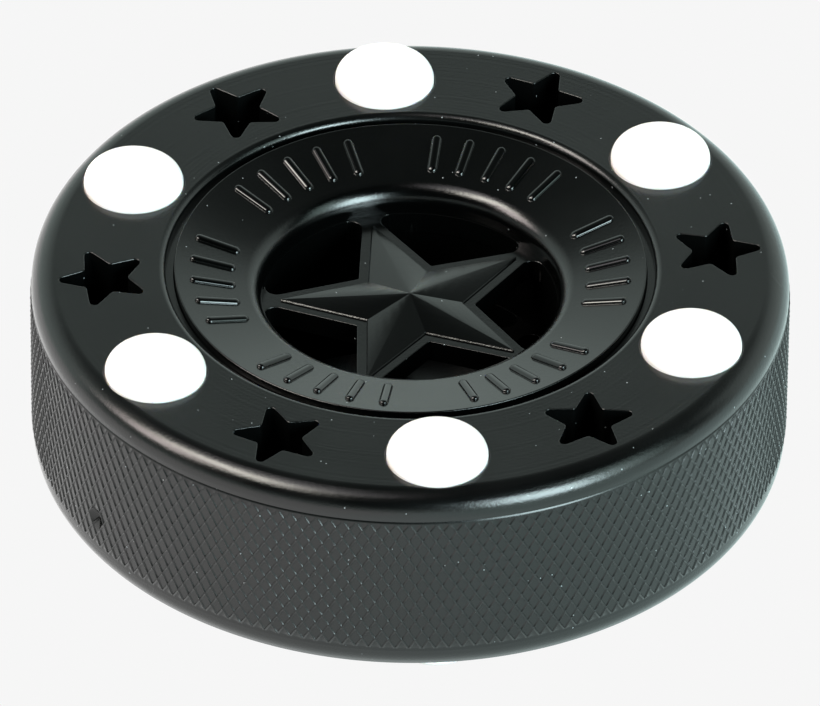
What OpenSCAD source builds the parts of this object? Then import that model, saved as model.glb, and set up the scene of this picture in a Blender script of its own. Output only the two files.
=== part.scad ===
// Roller and ice practice puck: a moulded outer body, a two-part snap-in hub
// and twelve low-friction glides that pair up through the body.
// +Z is up. The origin is the centre of the plane the lower glides stand on.
// One glide of each ring and one arm of the hub web lie on +X.

/* [Puck] */
// Diameter over the knurled grip band
puck_d = 76.2; // [75.8:0.1:76.8]
// Height over the glides, land to land
puck_h = 25.4; // [25:0.1:26]
// Height of the moulded body, face to face
body_h = 21.8; // [21.4:0.1:22.2]
// How far the plain rim is set back from the crests of the grip band
rim_inset = 0.15; // [0.1:0.05:0.4]
// Radius of the rounded shoulder between face and rim
rim_fillet = 2.4; // [1.6:0.1:2.6]
// Height of the plain rim above and below the grip band
band_margin = 2.75; // [2.7:0.05:4]
// Diameter of the round gate mark on the grip band
gate_d = 1.7; // [1.2:0.1:2.4]

/* [Hub seat] */
// Radius of the wall of the groove around the hub
groove_r = 24.5; // [24.2:0.1:24.8]
// Depth of the groove below the face
groove_depth = 1.2; // [1:0.1:1.6]
// Rounding of the groove's upper edge
groove_lip = 0.75; // [0.3:0.05:0.85]
// Half thickness of the inner flange that the hub halves grip
flange_half_t = 2.5; // [2:0.1:3]

/* [Hub] */
// Outer radius of the hub ring
hub_r = 23.65; // [23.4:0.05:23.8]
// How far the hub's outer edge lies below the body face
hub_sink = 0.27; // [0.15:0.01:0.5]
// Slope of the hub ring down towards the centre, in degrees
hub_slope = 13.7; // [9:0.1:15]
// Radius of the central opening
opening_r = 14.9; // [14.7:0.1:15.2]
// Radius of the rounded lip that leads into the opening
opening_lip = 2; // [1.2:0.1:2.2]
// Width of the thin collar that blends the web into the opening's wall
collar_w = 0.1; // [0.05:0.05:0.6]

/* [Web] */
// Number of web arms
arms = 5; // [5:1:6]
// Depth of the flat of the web below the body face
web_depth = 5; // [4.6:0.1:5.6]
// Thickness of the web
web_t = 2.4; // [1.8:0.1:3]
// Radius to the tips of the ridged star
star_tip_r = 13.3; // [12.8:0.1:13.6]
// Radius to the valleys between the arms of the ridged star
star_valley_r = 5.3; // [4.8:0.1:5.8]
// Height of the peak above the flat of the web
star_peak = 1.26; // [0.8:0.02:1.8]
// Height of the small step along the edge of the ridged star
star_step = 0.22; // [0.1:0.02:0.4]
// Width of the flat margin around the ridged star
web_margin = 0.97; // [0.7:0.01:1.2]
// Radius of the flare where an arm meets the opening wall
arm_flare = 1.2; // [0.6:0.1:1.6]
// Fillet in the valleys between the arms of the web
valley_fillet = 0.3; // [0.2:0.05:0.5]

/* [Ribs] */
// Number of rib groups around the hub ring
rib_groups = 6; // [3:1:6]
// Number of ribs in a group
ribs_per_group = 5; // [3:1:5]
// Angle between neighbouring ribs, in degrees
rib_pitch = 9; // [8:0.5:10]
// Length of a rib along the radius
rib_len = 4.6; // [3.5:0.1:5]
// Width of a rib
rib_w = 0.95; // [0.7:0.05:1.2]
// Height of a rib above the hub ring
rib_h = 0.35; // [0.2:0.05:0.5]

/* [Glides and vents] */
// Number of glides on each side
glides = 6; // [6:1:6]
// Radius of the circle the glides stand on
glide_ring_r = 30.8; // [30.6:0.05:31]
// Radius of a glide head
head_r = 5.04; // [4.8:0.02:5.2]
// Rounding of the head's edge
head_round = 1.68; // [1.2:0.02:1.7]
// Depth of the recess that locates a head
seat_depth = 0.6; // [0.4:0.05:1]
// Radius of the shank through the body
shank_r = 2.9; // [2.5:0.05:3.2]
// Radius of the circle the vents lie on
vent_ring_r = 30.7; // [30.5:0.05:30.9]
// Sharp radius of a star vent's points, before they are rounded
vent_point_r = 5.4; // [5:0.05:5.6]
// Radius of a star vent's valleys
vent_valley_r = 2.3; // [2:0.05:2.5]
// Rounding of a star vent's points
vent_round = 0.5; // [0.4:0.05:0.6]

/* [Hidden] */

$fn = 96;
eps = 0.01;
arc_steps = 10;
star_points = 5;

// Heights
mid_z = puck_h / 2;
half_h = body_h / 2;
glide_proud = (puck_h - body_h) / 2;

// Radii of the body
crest_r = puck_d / 2;
rim_r = crest_r - rim_inset;

// Fits
seat_clear = 0.1;
bore_clear = 0.1;
face_clear = 0.05;
shank_step = 0.1;

// Hub ring
hub_seat_r = hub_r + seat_clear;
tube_r = 20.4;
hub_edge_round = 0.12;
hub_edge_z = half_h - hub_sink;
web_z = half_h - web_depth;
lip_centre_r = opening_r + opening_lip;
lip_centre_z = slope_z(lip_centre_r) - opening_lip / cos(hub_slope);
peg_ring_r = 17.6;
peg_r = 1.2;
peg_len = 3;
peg_angle = 24;
socket_extra = 0.3;
rib_ring_r = 19.8;
rib_root = 0.4;
fillet_fn = 32;

// Gate mark
gate_angle = 180;
gate_below_mid = 4.3;
gate_depth = 0.4;

// Glide shanks: the upper glide is a sleeve, the lower one a pin with a snap bead
shank_split_z = 8.5 - mid_z;
bore_r = shank_r + bore_clear;
pin_r = 1.55;
socket_r = 1.6;
bead_r = 1.8;
bead_z = 5.5;
bead_half = 0.5;
pin_tip_z = 7;
pin_chamfer = 0.5;
socket_end_z = 7.6;

// Height of the sloping hub ring at radius r, from the middle plane
function slope_z(r) = hub_edge_z - (hub_r - r) * tan(hub_slope);

// Points of an arc about (cx, cz), from angle a0 to a1
function arc(cx, cz, r, a0, a1) =
    [for (i = [0:arc_steps]) let (a = a0 + (a1 - a0) * i / arc_steps) [cx + r * cos(a), cz + r * sin(a)]];

// The same half profile, turned over below the middle plane
function turned_over(profile) =
    [for (i = [len(profile) - 1:-1:0]) [profile[i][0], -profile[i][1]]];

// Corners of a star with n points
function star_outline(n, point_r, valley_r) =
    [for (i = [0:2 * n - 1]) let (r = i % 2 == 0 ? point_r : valley_r, a = 180 * i / n) [r * cos(a), r * sin(a)]];

// ---- Body ----

function body_half_profile() = concat(
    [[tube_r + seat_clear, flange_half_t],
     [hub_seat_r, flange_half_t],
     [hub_seat_r, half_h - groove_depth],
     [groove_r, half_h - groove_depth]],
    arc(groove_r + groove_lip, half_h - groove_lip, groove_lip, 180, 90),
    arc(rim_r - rim_fillet, half_h - rim_fillet, rim_fillet, 90, 0),
    [[rim_r, half_h - band_margin],
     [crest_r, half_h - band_margin - rim_inset]]);

module star_vent() {
    linear_extrude(body_h + 2, center = true)
        offset(r = vent_round, $fn = fillet_fn)
            offset(delta = -vent_round)
                polygon(star_outline(star_points, vent_point_r, vent_valley_r));
}

module glide_bore() {
    cylinder(r = bore_r, h = body_h + 2, center = true);
    for (side = [-1, 1])
        translate([0, 0, side * half_h])
            cylinder(r = head_r + bore_clear, h = 2 * seat_depth, center = true);
}

module gate_mark() {
    rotate([0, 0, gate_angle])
        translate([crest_r - gate_depth, 0, -gate_below_mid])
            rotate([0, 90, 0])
                cylinder(d = gate_d, h = 2, $fn = 48);
}

module body() {
    color("#3c4142")
        translate([0, 0, mid_z])
            difference() {
                rotate_extrude()
                    polygon(concat(body_half_profile(), turned_over(body_half_profile())));
                for (k = [0:glides - 1]) {
                    rotate([0, 0, k * 360 / glides])
                        translate([glide_ring_r, 0, 0])
                            glide_bore();
                    rotate([0, 0, (k + 0.5) * 360 / glides])
                        translate([vent_ring_r, 0, 0])
                            star_vent();
                }
                gate_mark();
            }
}

// ---- Hub ----

function hub_profile() = concat(
    [[tube_r, 0],
     [tube_r, flange_half_t + face_clear],
     [hub_r, flange_half_t + face_clear],
     [hub_r, hub_edge_z - hub_edge_round],
     [hub_r - hub_edge_round, slope_z(hub_r - hub_edge_round)]],
    arc(lip_centre_r, lip_centre_z, opening_lip, 90 + hub_slope, 180),
    [[opening_r, 0]]);

// Outline of the ridged star's edges moved out by the flat margin
module margin_star() {
    offset(delta = web_margin)
        polygon(star_outline(arms, star_tip_r, star_valley_r));
}

// Thin collar that blends the arms into the opening's wall
module collar() {
    difference() {
        circle(r = opening_r + arm_flare);
        circle(r = opening_r - collar_w);
    }
}

// Arms and collar with the corners between them filled by the flare radius
module flared_arms() {
    difference() {
        offset(r = -arm_flare, $fn = fillet_fn)
            offset(r = arm_flare, $fn = fillet_fn) {
                margin_star();
                collar();
            }
        circle(r = opening_r - 3 * arm_flare);
    }
}

// Flat of the web, with small fillets in the valleys of its openings
module web_plate() {
    translate([0, 0, web_z - web_t])
        linear_extrude(web_t)
            offset(r = -valley_fillet, $fn = fillet_fn)
                offset(r = valley_fillet, $fn = fillet_fn)
                    intersection() {
                        union() {
                            margin_star();
                            flared_arms();
                        }
                        circle(r = opening_r + arm_flare / 2);
                    }
}

// Ridged star: one peak, a ridge along every arm and a valley between arms
module ridged_star() {
    outline = star_outline(arms, star_tip_r, star_valley_r);
    n = len(outline);
    rim_top = [for (p = outline) [p[0], p[1], star_step]];
    rim_base = [for (p = outline) [p[0], p[1], -web_t / 2]];
    peak = [[0, 0, star_peak]];
    roof = [for (i = [0:n - 1]) [2 * n, (i + 1) % n, i]];
    walls = [for (i = [0:n - 1]) [i, (i + 1) % n, n + (i + 1) % n, n + i]];
    floor_face = [[for (i = [0:n - 1]) n + i]];
    translate([0, 0, web_z])
        polyhedron(points = concat(rim_top, rim_base, peak), faces = concat(roof, walls, floor_face));
}

// A round-ended rib lying on the slope of the hub ring
module rib() {
    end_x = (rib_len - rib_w) / 2;
    outline = concat(arc(end_x, 0, rib_w / 2, -90, 90), arc(-end_x, 0, rib_w / 2, 90, 270));
    translate([rib_ring_r, 0, slope_z(rib_ring_r)])
        rotate([0, -hub_slope, 0])
            translate([0, 0, -rib_root])
                linear_extrude(rib_root + rib_h)
                    polygon(outline);
}

module rib_ring() {
    for (g = [0:rib_groups - 1])
        for (k = [0:ribs_per_group - 1])
            rotate([0, 0, (g + 0.5) * 360 / rib_groups + (k - (ribs_per_group - 1) / 2) * rib_pitch])
                rib();
}

// One half of the hub. Both halves are the same moulding: turned over, its pegs meet the sockets.
module hub_half() {
    difference() {
        union() {
            rotate_extrude()
                polygon(hub_profile());
            web_plate();
            ridged_star();
            rib_ring();
            for (k = [0:arms - 1])
                rotate([0, 0, k * 360 / arms + peg_angle])
                    translate([peg_ring_r, 0, -peg_len])
                        cylinder(r = peg_r, h = 2 * peg_len, $fn = 48);
        }
        for (k = [0:arms - 1])
            rotate([0, 0, k * 360 / arms - peg_angle])
                translate([peg_ring_r, 0, -eps])
                    cylinder(r = peg_r + face_clear, h = peg_len + socket_extra + eps, $fn = 48);
    }
}

module hub_top() {
    color("#2b3133")
        translate([0, 0, mid_z])
            hub_half();
}

module hub_bottom() {
    color("#2b3133")
        translate([0, 0, mid_z])
            rotate([180, 0, 0])
                hub_half();
}

// ---- Glides ----

// Half profile of a head with its rounded edge, from the seat up to the land
function head_profile() = concat(
    [[head_r, half_h - seat_depth]],
    arc(head_r - head_round, half_h + glide_proud - head_round, head_round, 0, 90));

function sleeve_profile() = concat(
    [[socket_r, shank_split_z],
     [shank_r, shank_split_z],
     [shank_r, half_h - seat_depth]],
    head_profile(),
    [[0, half_h + glide_proud],
     [0, socket_end_z],
     [socket_r, socket_end_z],
     [socket_r, bead_z + bead_half + face_clear],
     [bead_r + face_clear, bead_z + face_clear],
     [bead_r + face_clear, bead_z - face_clear],
     [socket_r, bead_z - bead_half - face_clear]]);

function pin_profile() = concat(
    [[0, pin_tip_z],
     [pin_r - pin_chamfer, pin_tip_z],
     [pin_r, pin_tip_z - pin_chamfer],
     [pin_r, bead_z + bead_half],
     [bead_r, bead_z],
     [pin_r, bead_z - bead_half],
     [pin_r, shank_split_z - shank_step],
     [shank_r, shank_split_z - shank_step],
     [shank_r, seat_depth - half_h]],
    [for (p = head_profile()) [p[0], -p[1]]],
    [[0, -half_h - glide_proud]]);

module glide_place(k) {
    translate([0, 0, mid_z])
        rotate([0, 0, (k - 1) * 360 / glides])
            translate([glide_ring_r, 0, 0])
                children();
}

module glide_top(k) {
    color("#f4f3ee")
        glide_place(k)
            rotate_extrude()
                polygon(sleeve_profile());
}

module glide_bottom(k) {
    color("#f4f3ee")
        glide_place(k)
            rotate_extrude()
                polygon(pin_profile());
}

body();
hub_top();
hub_bottom();
glide_top(1);  // glide_top_1
glide_top(2);  // glide_top_2
glide_top(3);  // glide_top_3
glide_top(4);  // glide_top_4
glide_top(5);  // glide_top_5
glide_top(6);  // glide_top_6
glide_bottom(1);  // glide_bottom_1
glide_bottom(2);  // glide_bottom_2
glide_bottom(3);  // glide_bottom_3
glide_bottom(4);  // glide_bottom_4
glide_bottom(5);  // glide_bottom_5
glide_bottom(6);  // glide_bottom_6
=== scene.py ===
# Looks of a practice puck: a knurled outer body, a two-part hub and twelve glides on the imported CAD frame.
# Shapes are worked out in millimetres and become metres when a mesh is made. The frame gives the main sizes.
import math

import bmesh
import bpy
import numpy as np
from mathutils import Matrix, Vector
from mathutils.geometry import delaunay_2d_cdt


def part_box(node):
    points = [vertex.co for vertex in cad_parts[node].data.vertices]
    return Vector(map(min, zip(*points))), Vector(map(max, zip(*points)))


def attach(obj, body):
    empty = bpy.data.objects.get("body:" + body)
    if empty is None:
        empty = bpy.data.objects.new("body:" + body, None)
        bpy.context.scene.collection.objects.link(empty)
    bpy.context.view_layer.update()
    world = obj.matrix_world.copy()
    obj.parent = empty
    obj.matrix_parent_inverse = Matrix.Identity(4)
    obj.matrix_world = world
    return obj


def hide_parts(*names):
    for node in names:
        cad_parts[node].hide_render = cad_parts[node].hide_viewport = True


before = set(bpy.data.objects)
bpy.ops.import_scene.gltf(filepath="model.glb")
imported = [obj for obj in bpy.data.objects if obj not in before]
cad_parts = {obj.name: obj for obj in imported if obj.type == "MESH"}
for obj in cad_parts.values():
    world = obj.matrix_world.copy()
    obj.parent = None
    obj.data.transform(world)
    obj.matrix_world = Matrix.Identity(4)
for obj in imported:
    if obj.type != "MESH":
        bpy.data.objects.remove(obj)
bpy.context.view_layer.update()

MM = 0.001
TAU = 2 * math.pi
UP = np.array([0.0, 0.0, 1.0])
SAME_SPOT = 1e-9
SAME_LEVEL = 1e-6


def box_mm(node):
    """Lowest and highest corner of a CAD node, in millimetres."""
    low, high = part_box(node)
    return np.array(low) / MM, np.array(high) / MM


# ---- Sizes taken from the CAD frame ----
BODY_LOW, BODY_HIGH = box_mm("body")
HUB_LOW, HUB_HIGH = box_mm("hub_top")
GLIDE_LOW, GLIDE_HIGH = box_mm("glide_top_1")
MID_Z = (BODY_LOW[2] + BODY_HIGH[2]) / 2
HALF_H = (BODY_HIGH[2] - BODY_LOW[2]) / 2
CREST_R = (BODY_HIGH[0] - BODY_LOW[0]) / 2
HUB_R = (HUB_HIGH[0] - HUB_LOW[0]) / 2
HEAD_R = (GLIDE_HIGH[0] - GLIDE_LOW[0]) / 2
GLIDE_RING_R = (GLIDE_HIGH[0] + GLIDE_LOW[0]) / 2
GLIDE_TOP = GLIDE_HIGH[2] - MID_Z
GLIDES = 6

# ---- Body details ----
RIM_R = CREST_R - 0.15
RIM_ROUND = 2.4
SHOULDER_START = 20          # degrees of the shoulder's arc that belong to the face
SHOULDER_STEPS = 14
BAND_HALF = HALF_H - 2.75
BAND_ROOT_R = CREST_R - 1.2
SLOT_R = 24.5
SLOT_DEPTH = 1.2
SLOT_ROUND = 0.75
SEAT_CLEAR = 0.1
FLANGE_HALF = 2.5
TUBE_R = 20.4
BORE_R = 3.0
SEAT_DEPTH = 0.6
SEAT_ROUND = 0.12

# ---- Star vents ----
VENT_POINTS = 5
VENT_RING_R = 30.7
VENT_POINT_R = 5.4
VENT_VALLEY_R = 2.3
VENT_TIP_ROUND = 0.5
VENT_VALLEY_ROUND = 0.42
VENT_EDGE = 0.1

# ---- Knurled grip band ----
KNURL_CELLS = 180
KNURL_CELL_H = 2.25
RIDGE_H = 0.115
RIDGE_SHARE = 0.115          # half a ridge's width, as a share of the cell
CREST_SHARE = 0.4            # the rounded part of that half width
CREST_FALL = 0.16            # how far the rounded part falls, as a share of the height
CROSSING_PEAK = 0.35         # extra height where two ridges cross, as a share of the height
WEAR = 0.007
WEAR_SEED = 7
WEAR_WAVES = ((5, 0.9), (23, -0.5))    # each: per radian around, per mm up
GATE_ANGLE = math.pi
GATE_BELOW_MID = 4.3
GATE_R = 1.0
GATE_DEPTH = 0.6
GATE_ROUGH = 0.2
BORDER_H = 0.5
NOTCH_W = 0.28
NOTCH_DEPTH = 0.16
FLAT_R = CREST_R - (1 + CROSSING_PEAK) * RIDGE_H
SPARE_H = 0.5
SHARP_ANGLE = math.radians(46)

# ---- Hub details ----
HUB_SLOPE = math.radians(13.7)
HUB_SINK = 0.27
HUB_EDGE = 0.12
OPENING_R = 14.9
LIP_ROUND = 2.0
SHOULDER_CLEAR = 0.05
COLLAR_R = OPENING_R - 0.1
WEB_DEPTH = 5.0
WEB_T = 2.4
ARMS = 5
STAR_TIP_R = 13.3
STAR_VALLEY_R = 5.3
STAR_PEAK = 1.26
STAR_STEP = 0.22
STAR_BEVEL = 0.12
STAR_BEVEL_H = 0.105
STAR_BEVEL_BEND = (0.67, 0.28)   # shares of the bevel's width, and of its height from the top
STAR_TIP_ROUND = 0.15
STAR_VALLEY_ROUND = 0.1
STAR_RIDGE_SOFT = 0.05
STAR_RINGS = (0.97, 0.85, 0.7, 0.5, 0.3, 0.15, 0.05, 0.012)
WEB_MARGIN = 0.97
ARM_FLARE = 1.2
WEB_VALLEY_ROUND = 0.3
WEB_EDGE = 0.08
WALL_REACH = 0.03
PEG_RING_R = 17.6
PEG_R = 1.2
PEG_LEN = 3.0
PEG_ANGLE = math.radians(24)
PEG_CLEAR = 0.05
PEG_END_CLEAR = 0.3

# ---- Raised ribs on the hub ring ----
RIB_GROUPS = 6
RIBS_PER_GROUP = 5
RIB_PITCH = math.radians(9)
RIB_RING_R = 19.8
RIB_LEN = 4.6
RIB_W = 0.95
RIB_H = 0.35
RIB_FLAT = 0.06
RIB_FOOT = 0.06

# ---- Material slots of a hub half, after the hub's own at 0 ----
RIB_SLOT = 1
# The opening's wall below the web uses a darker copy of the hub plastic, which paints its shade.
SHADED_WALL_SLOT = 2

# ---- Glides ----
HEAD_ROUND = 1.68
CROWN_H = 0.1
CROWN_RINGS = (0.8, 0.6, 0.4, 0.2, 0.05)
SHANK_R = 2.9
SOCKET_R = 1.6
SOCKET_END = 7.6
SLEEVE_END = 8.5 - MID_Z
PIN_R = 1.55
PIN_CHAMFER = 0.5
PIN_TIP = -7.0
PIN_ROOT = MID_Z - 8.4
POLE_R = 0.05                # the hole left at the axis, closed with a flat fill

# ---- Mesh fineness ----
RING_STEPS = 360
GLIDE_STEPS = 128
PEG_STEPS = 32
COLLAR_STEPS = 24
FLARE_STEPS = 10
VALLEY_STEPS = 6
ROUND_STEPS = 9
SMALL_ROUND_STEPS = 4
HUB_GUIDE_RADII = (17.05, 22.6)


# ======== Sections: lists of (outward, up, normal outward, normal up) ========

def line(start, end):
    """A straight stretch of a section. The solid lies to the right of the way from start to end."""
    run, rise = end[0] - start[0], end[1] - start[1]
    size = math.hypot(run, rise)
    normal = (-rise / size, run / size)
    return [(*start, *normal), (*end, *normal)]


def arc(centre, radius, start_deg, end_deg, steps=ROUND_STEPS, side=1):
    """A round stretch of a section. Side is 1 on a rounded edge and -1 in a fillet."""
    stations = []
    for angle in np.radians(np.linspace(start_deg, end_deg, steps + 1)):
        c, s = math.cos(angle), math.sin(angle)
        stations.append((centre[0] + radius * c, centre[1] + radius * s, side * c, side * s))
    return stations


def path(*corners):
    """Straight stretches through the corners, with sharp edges between them."""
    stations = []
    for start, end in zip(corners, corners[1:]):
        stations += line(start, end)
    return stations


# ======== Outlines: points and outward normals, anticlockwise ========

def circle(radius, steps):
    """A full circle about the origin."""
    angles = np.linspace(0, TAU, steps, endpoint=False)
    out = np.stack([np.cos(angles), np.sin(angles)], 1)
    return radius * out, out


def axis_line(steps):
    """A circle of no radius with its outward directions, to turn a section about an axis."""
    return np.zeros((steps, 2)), circle(1, steps)[1]


def unit(angle):
    """The direction at an angle in plan."""
    return np.array([math.cos(angle), math.sin(angle)])


def round_corner(centre, radius, start, end, steps, side=1):
    """Points and normals of one rounded corner. Side is -1 for a corner that points into the shape."""
    angles = np.linspace(start, end, steps + 1)
    out = np.stack([np.cos(angles), np.sin(angles)], 1)
    return centre + side * radius * out, out


def joined(parts):
    """One outline made of the parts in order."""
    points, normals = zip(*parts)
    return np.concatenate(points), np.concatenate(normals)


def star_edge_angle(points, tip_r, valley_r):
    """Direction of the normal on the edge from the tip at angle 0 to the next valley."""
    half = math.pi / points
    run = tip_r - valley_r * math.cos(half)
    rise = valley_r * math.sin(half)
    return math.atan2(run, rise)


def star(points, tip_r, valley_r, tip_round, valley_round, tip_steps=8, valley_steps=5):
    """A star with rounded tips and rounded valleys."""
    edge = star_edge_angle(points, tip_r, valley_r)
    half = math.pi / points
    tip_centre = tip_r - tip_round / math.cos(edge)
    valley_centre = valley_r + valley_round / math.cos(edge - half)
    parts = []
    for k in range(points):
        turn = 2 * half * k
        parts.append(round_corner(tip_centre * unit(turn), tip_round, turn - edge, turn + edge, tip_steps))
        parts.append(round_corner(valley_centre * unit(turn + half), valley_round,
                                  turn + edge, turn + 2 * half - edge, valley_steps, side=-1))
    return joined(parts)


def without_last(part):
    """A part less its last point, which the next part starts with."""
    points, out = part
    return points[:-1], out[:-1]


def web_opening(k):
    """The opening between arm k and the next: two arm edges, the collar and three rounded corners."""
    half = math.pi / ARMS
    turn = 2 * half * k
    edge = star_edge_angle(ARMS, STAR_TIP_R, STAR_VALLEY_R)
    reach = STAR_TIP_R * math.cos(edge) + WEB_MARGIN
    valley_centre = (reach + WEB_VALLEY_ROUND) / math.cos(edge - half) * unit(half)
    along = math.sqrt((COLLAR_R - ARM_FLARE) ** 2 - (reach + ARM_FLARE) ** 2)
    low_centre = (reach + ARM_FLARE) * unit(edge) + along * unit(edge - math.pi / 2)
    low_angle = math.atan2(low_centre[1], low_centre[0])
    high_angle = 2 * half - low_angle
    high_centre = np.hypot(*low_centre) * unit(high_angle)
    high_edge = 2 * half - edge + math.pi
    low_edge = edge + math.pi
    collar = round_corner(np.zeros(2), COLLAR_R, low_angle, high_angle, COLLAR_STEPS)
    high_flare = round_corner(high_centre, ARM_FLARE, high_angle, high_edge, FLARE_STEPS)
    valley = round_corner(valley_centre, WEB_VALLEY_ROUND, high_edge, low_edge, VALLEY_STEPS)
    low_flare = round_corner(low_centre, ARM_FLARE, low_edge, TAU + low_angle, FLARE_STEPS)
    points, out = joined([without_last(collar), high_flare, valley, without_last(low_flare)])
    spin = np.array([unit(turn), unit(turn + math.pi / 2)])
    return points @ spin, out @ spin


def pill(length, width, steps=8):
    """A straight bar with round ends, along x."""
    end = (length - width) / 2
    return joined([round_corner(np.array([end, 0]), width / 2, -math.pi / 2, math.pi / 2, steps),
                   round_corner(np.array([-end, 0]), width / 2, math.pi / 2, 1.5 * math.pi, steps)])


def placed(outline, radius, angle):
    """An outline moved out to a radius and turned about the axis."""
    points, out = outline
    spin = np.array([unit(angle), unit(angle + math.pi / 2)])
    return (points + np.array([radius, 0])) @ spin, out @ spin


# ======== Grounds: height and normal below a point in plan ========

def level(plan):
    """A flat ground at height 0."""
    return np.zeros(len(plan)), np.tile(UP, (len(plan), 1))


def hub_slope_z(radius):
    """Height of the hub ring at a radius, above the puck's middle."""
    return HALF_H - HUB_SINK - (HUB_R - radius) * math.tan(HUB_SLOPE)


def hub_cone(plan):
    """The hub ring, which slopes down towards the centre."""
    radius = np.hypot(plan[:, 0], plan[:, 1])
    inward = -plan / radius[:, None] * math.sin(HUB_SLOPE)
    normals = np.column_stack([inward, np.full(len(plan), math.cos(HUB_SLOPE))])
    return hub_slope_z(radius), normals


def shoulder_drop(plan):
    """How far the rounded shoulder has dropped below the body's face, and how steep it is there."""
    radius = np.hypot(plan[:, 0], plan[:, 1])
    over = np.clip(radius - (RIM_R - RIM_ROUND), 0, RIM_ROUND)
    cosine = np.sqrt(1 - (over / RIM_ROUND) ** 2)
    outward = plan / radius[:, None] * (over / RIM_ROUND)[:, None]
    return RIM_ROUND * (1 - cosine), outward, cosine


def upper_face(plan):
    """The body's upper face with the start of its shoulder."""
    drop, outward, cosine = shoulder_drop(plan)
    return -drop, np.column_stack([outward, cosine])


def lower_face(plan):
    """The body's lower face with the start of its shoulder."""
    drop, outward, cosine = shoulder_drop(plan)
    return drop, np.column_stack([-outward, cosine])


def enclosed(spots, starts, ends):
    """Which spots lie inside the loops made of the edges from starts to ends."""
    crossings = np.zeros(len(spots), int)
    for (ax, ay), (bx, by) in zip(starts, ends):
        if ay != by:
            spans = (ay > spots[:, 1]) != (by > spots[:, 1])
            at_x = ax + (spots[:, 1] - ay) * (bx - ax) / (by - ay)
            crossings += spans & (spots[:, 0] < at_x)
    return crossings % 2 == 1


# ======== A surface grown loop by loop ========

class Sheet:
    """Points, faces and the exact normal of the shape at every face corner."""

    def __init__(self):
        self.points = np.zeros((0, 3))
        self.faces = []
        self.normals = []
        self.slots = []

    def loop(self, points):
        """Adds points and returns their numbers."""
        first = len(self.points)
        self.points = np.vstack([self.points, points])
        return np.arange(first, len(self.points))

    def patch(self, faces, normals, slot=0):
        """Adds faces of one size, turned so that each faces the way its corner normals do."""
        p = self.points[faces]
        face_normals = np.cross(p[:, 1] - p[:, 0], p[:, 2] - p[:, 0])
        if faces.shape[1] == 4:
            face_normals += np.cross(p[:, 2] - p[:, 0], p[:, 3] - p[:, 0])
        wrong = (face_normals * normals.mean(1)).sum(1) < 0
        faces, normals = faces.copy(), normals.copy()
        faces[wrong] = faces[wrong][:, ::-1]
        normals[wrong] = normals[wrong][:, ::-1]
        self.faces += faces.tolist()
        self.normals.append(normals.reshape(-1, 3))
        self.slots += [slot] * len(faces)

    def strip(self, loop, normals, next_loop, next_normals, slot=0):
        """Adds the four-cornered faces between two closed loops of the same length."""
        faces = [loop, np.roll(loop, -1), np.roll(next_loop, -1), next_loop]
        corners = [normals, np.roll(normals, -1, 0), np.roll(next_normals, -1, 0), next_normals]
        self.patch(np.stack(faces, 1), np.stack(corners, 1), slot)

    def sweep(self, outline, section, ground=level, first=None, last=None, slot=0):
        """Carries a section round a closed outline and returns its first and last loop."""
        plan, out = outline
        here, here_normals, at, opening = None, None, None, None
        for i, (offset, rise, normal_out, normal_up) in enumerate(section):
            spot = plan + offset * out
            height, ground_normals = ground(spot)
            normals = np.column_stack([out * normal_out, np.zeros(len(out))]) + ground_normals * normal_up
            normals /= np.linalg.norm(normals, axis=1)[:, None]
            if at is not None and math.dist(at, (offset, rise)) < SAME_SPOT:
                here_normals = normals
                continue
            if i == 0 and first is not None:
                loop = first
            elif last is not None and math.dist(section[-1][:2], (offset, rise)) < SAME_SPOT:
                loop = last
            else:
                loop = self.loop(np.column_stack([spot, height + rise]))
            if here is None:
                opening = loop
            else:
                self.strip(here, here_normals, loop, normals, slot)
            here, here_normals, at = loop, normals, (offset, rise)
        return opening, here

    def fill(self, loops, side=1, ground=level, guides=None, base=0.0, slot=0):
        """Fills the region that the loops bound, holes left open. Side is -1 for a face that looks down.
        Guides are extra points in plan that keep a curved ground smooth, lifted to the ground above base."""
        ids = np.concatenate(loops)
        edges, start = [], 0
        for loop in loops:
            n = len(loop)
            edges += [(start + i, start + (i + 1) % n) for i in range(n)]
            start += n
        if guides is not None:
            plan = self.points[ids][:, :2]
            starts = plan[[e[0] for e in edges]]
            ends = plan[[e[1] for e in edges]]
            guides = guides[enclosed(guides, starts, ends)]
            ids = np.concatenate([ids, self.loop(np.column_stack([guides, ground(guides)[0] + base]))])
        plan = self.points[ids][:, :2]
        made = delaunay_2d_cdt([Vector(p) for p in plan], edges, [], 0, SAME_LEVEL)
        found = np.array([sources[0] for sources in made[3]])
        triangles = found[np.array(made[2])]
        starts = plan[[e[0] for e in edges]]
        ends = plan[[e[1] for e in edges]]
        triangles = triangles[enclosed(plan[triangles].mean(1), starts, ends)]
        normals = ground(plan)[1] * side
        self.patch(ids[triangles], normals[triangles], slot)

    def turned_over(self):
        """The same sheet after half a turn about the x axis."""
        other = Sheet()
        flip = np.array([1, -1, -1])
        other.points = self.points * flip
        other.faces = self.faces
        other.normals = [n * flip for n in self.normals]
        other.slots = self.slots
        return other

    def build(self, name, materials):
        """Makes the Blender object, with its middle plane at the height the CAD frame gives."""
        mesh = bpy.data.meshes.new(name)
        points = (self.points + UP * MID_Z) * MM
        mesh.from_pydata(points.tolist(), [], self.faces)
        for material in materials:
            mesh.materials.append(material)
        mesh.polygons.foreach_set("material_index", self.slots)
        mesh.polygons.foreach_set("use_smooth", [True] * len(self.faces))
        mesh.normals_split_custom_set(np.concatenate(self.normals).tolist())
        obj = bpy.data.objects.new(name, mesh)
        bpy.context.scene.collection.objects.link(obj)
        return obj


# ======== Body ========

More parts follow.
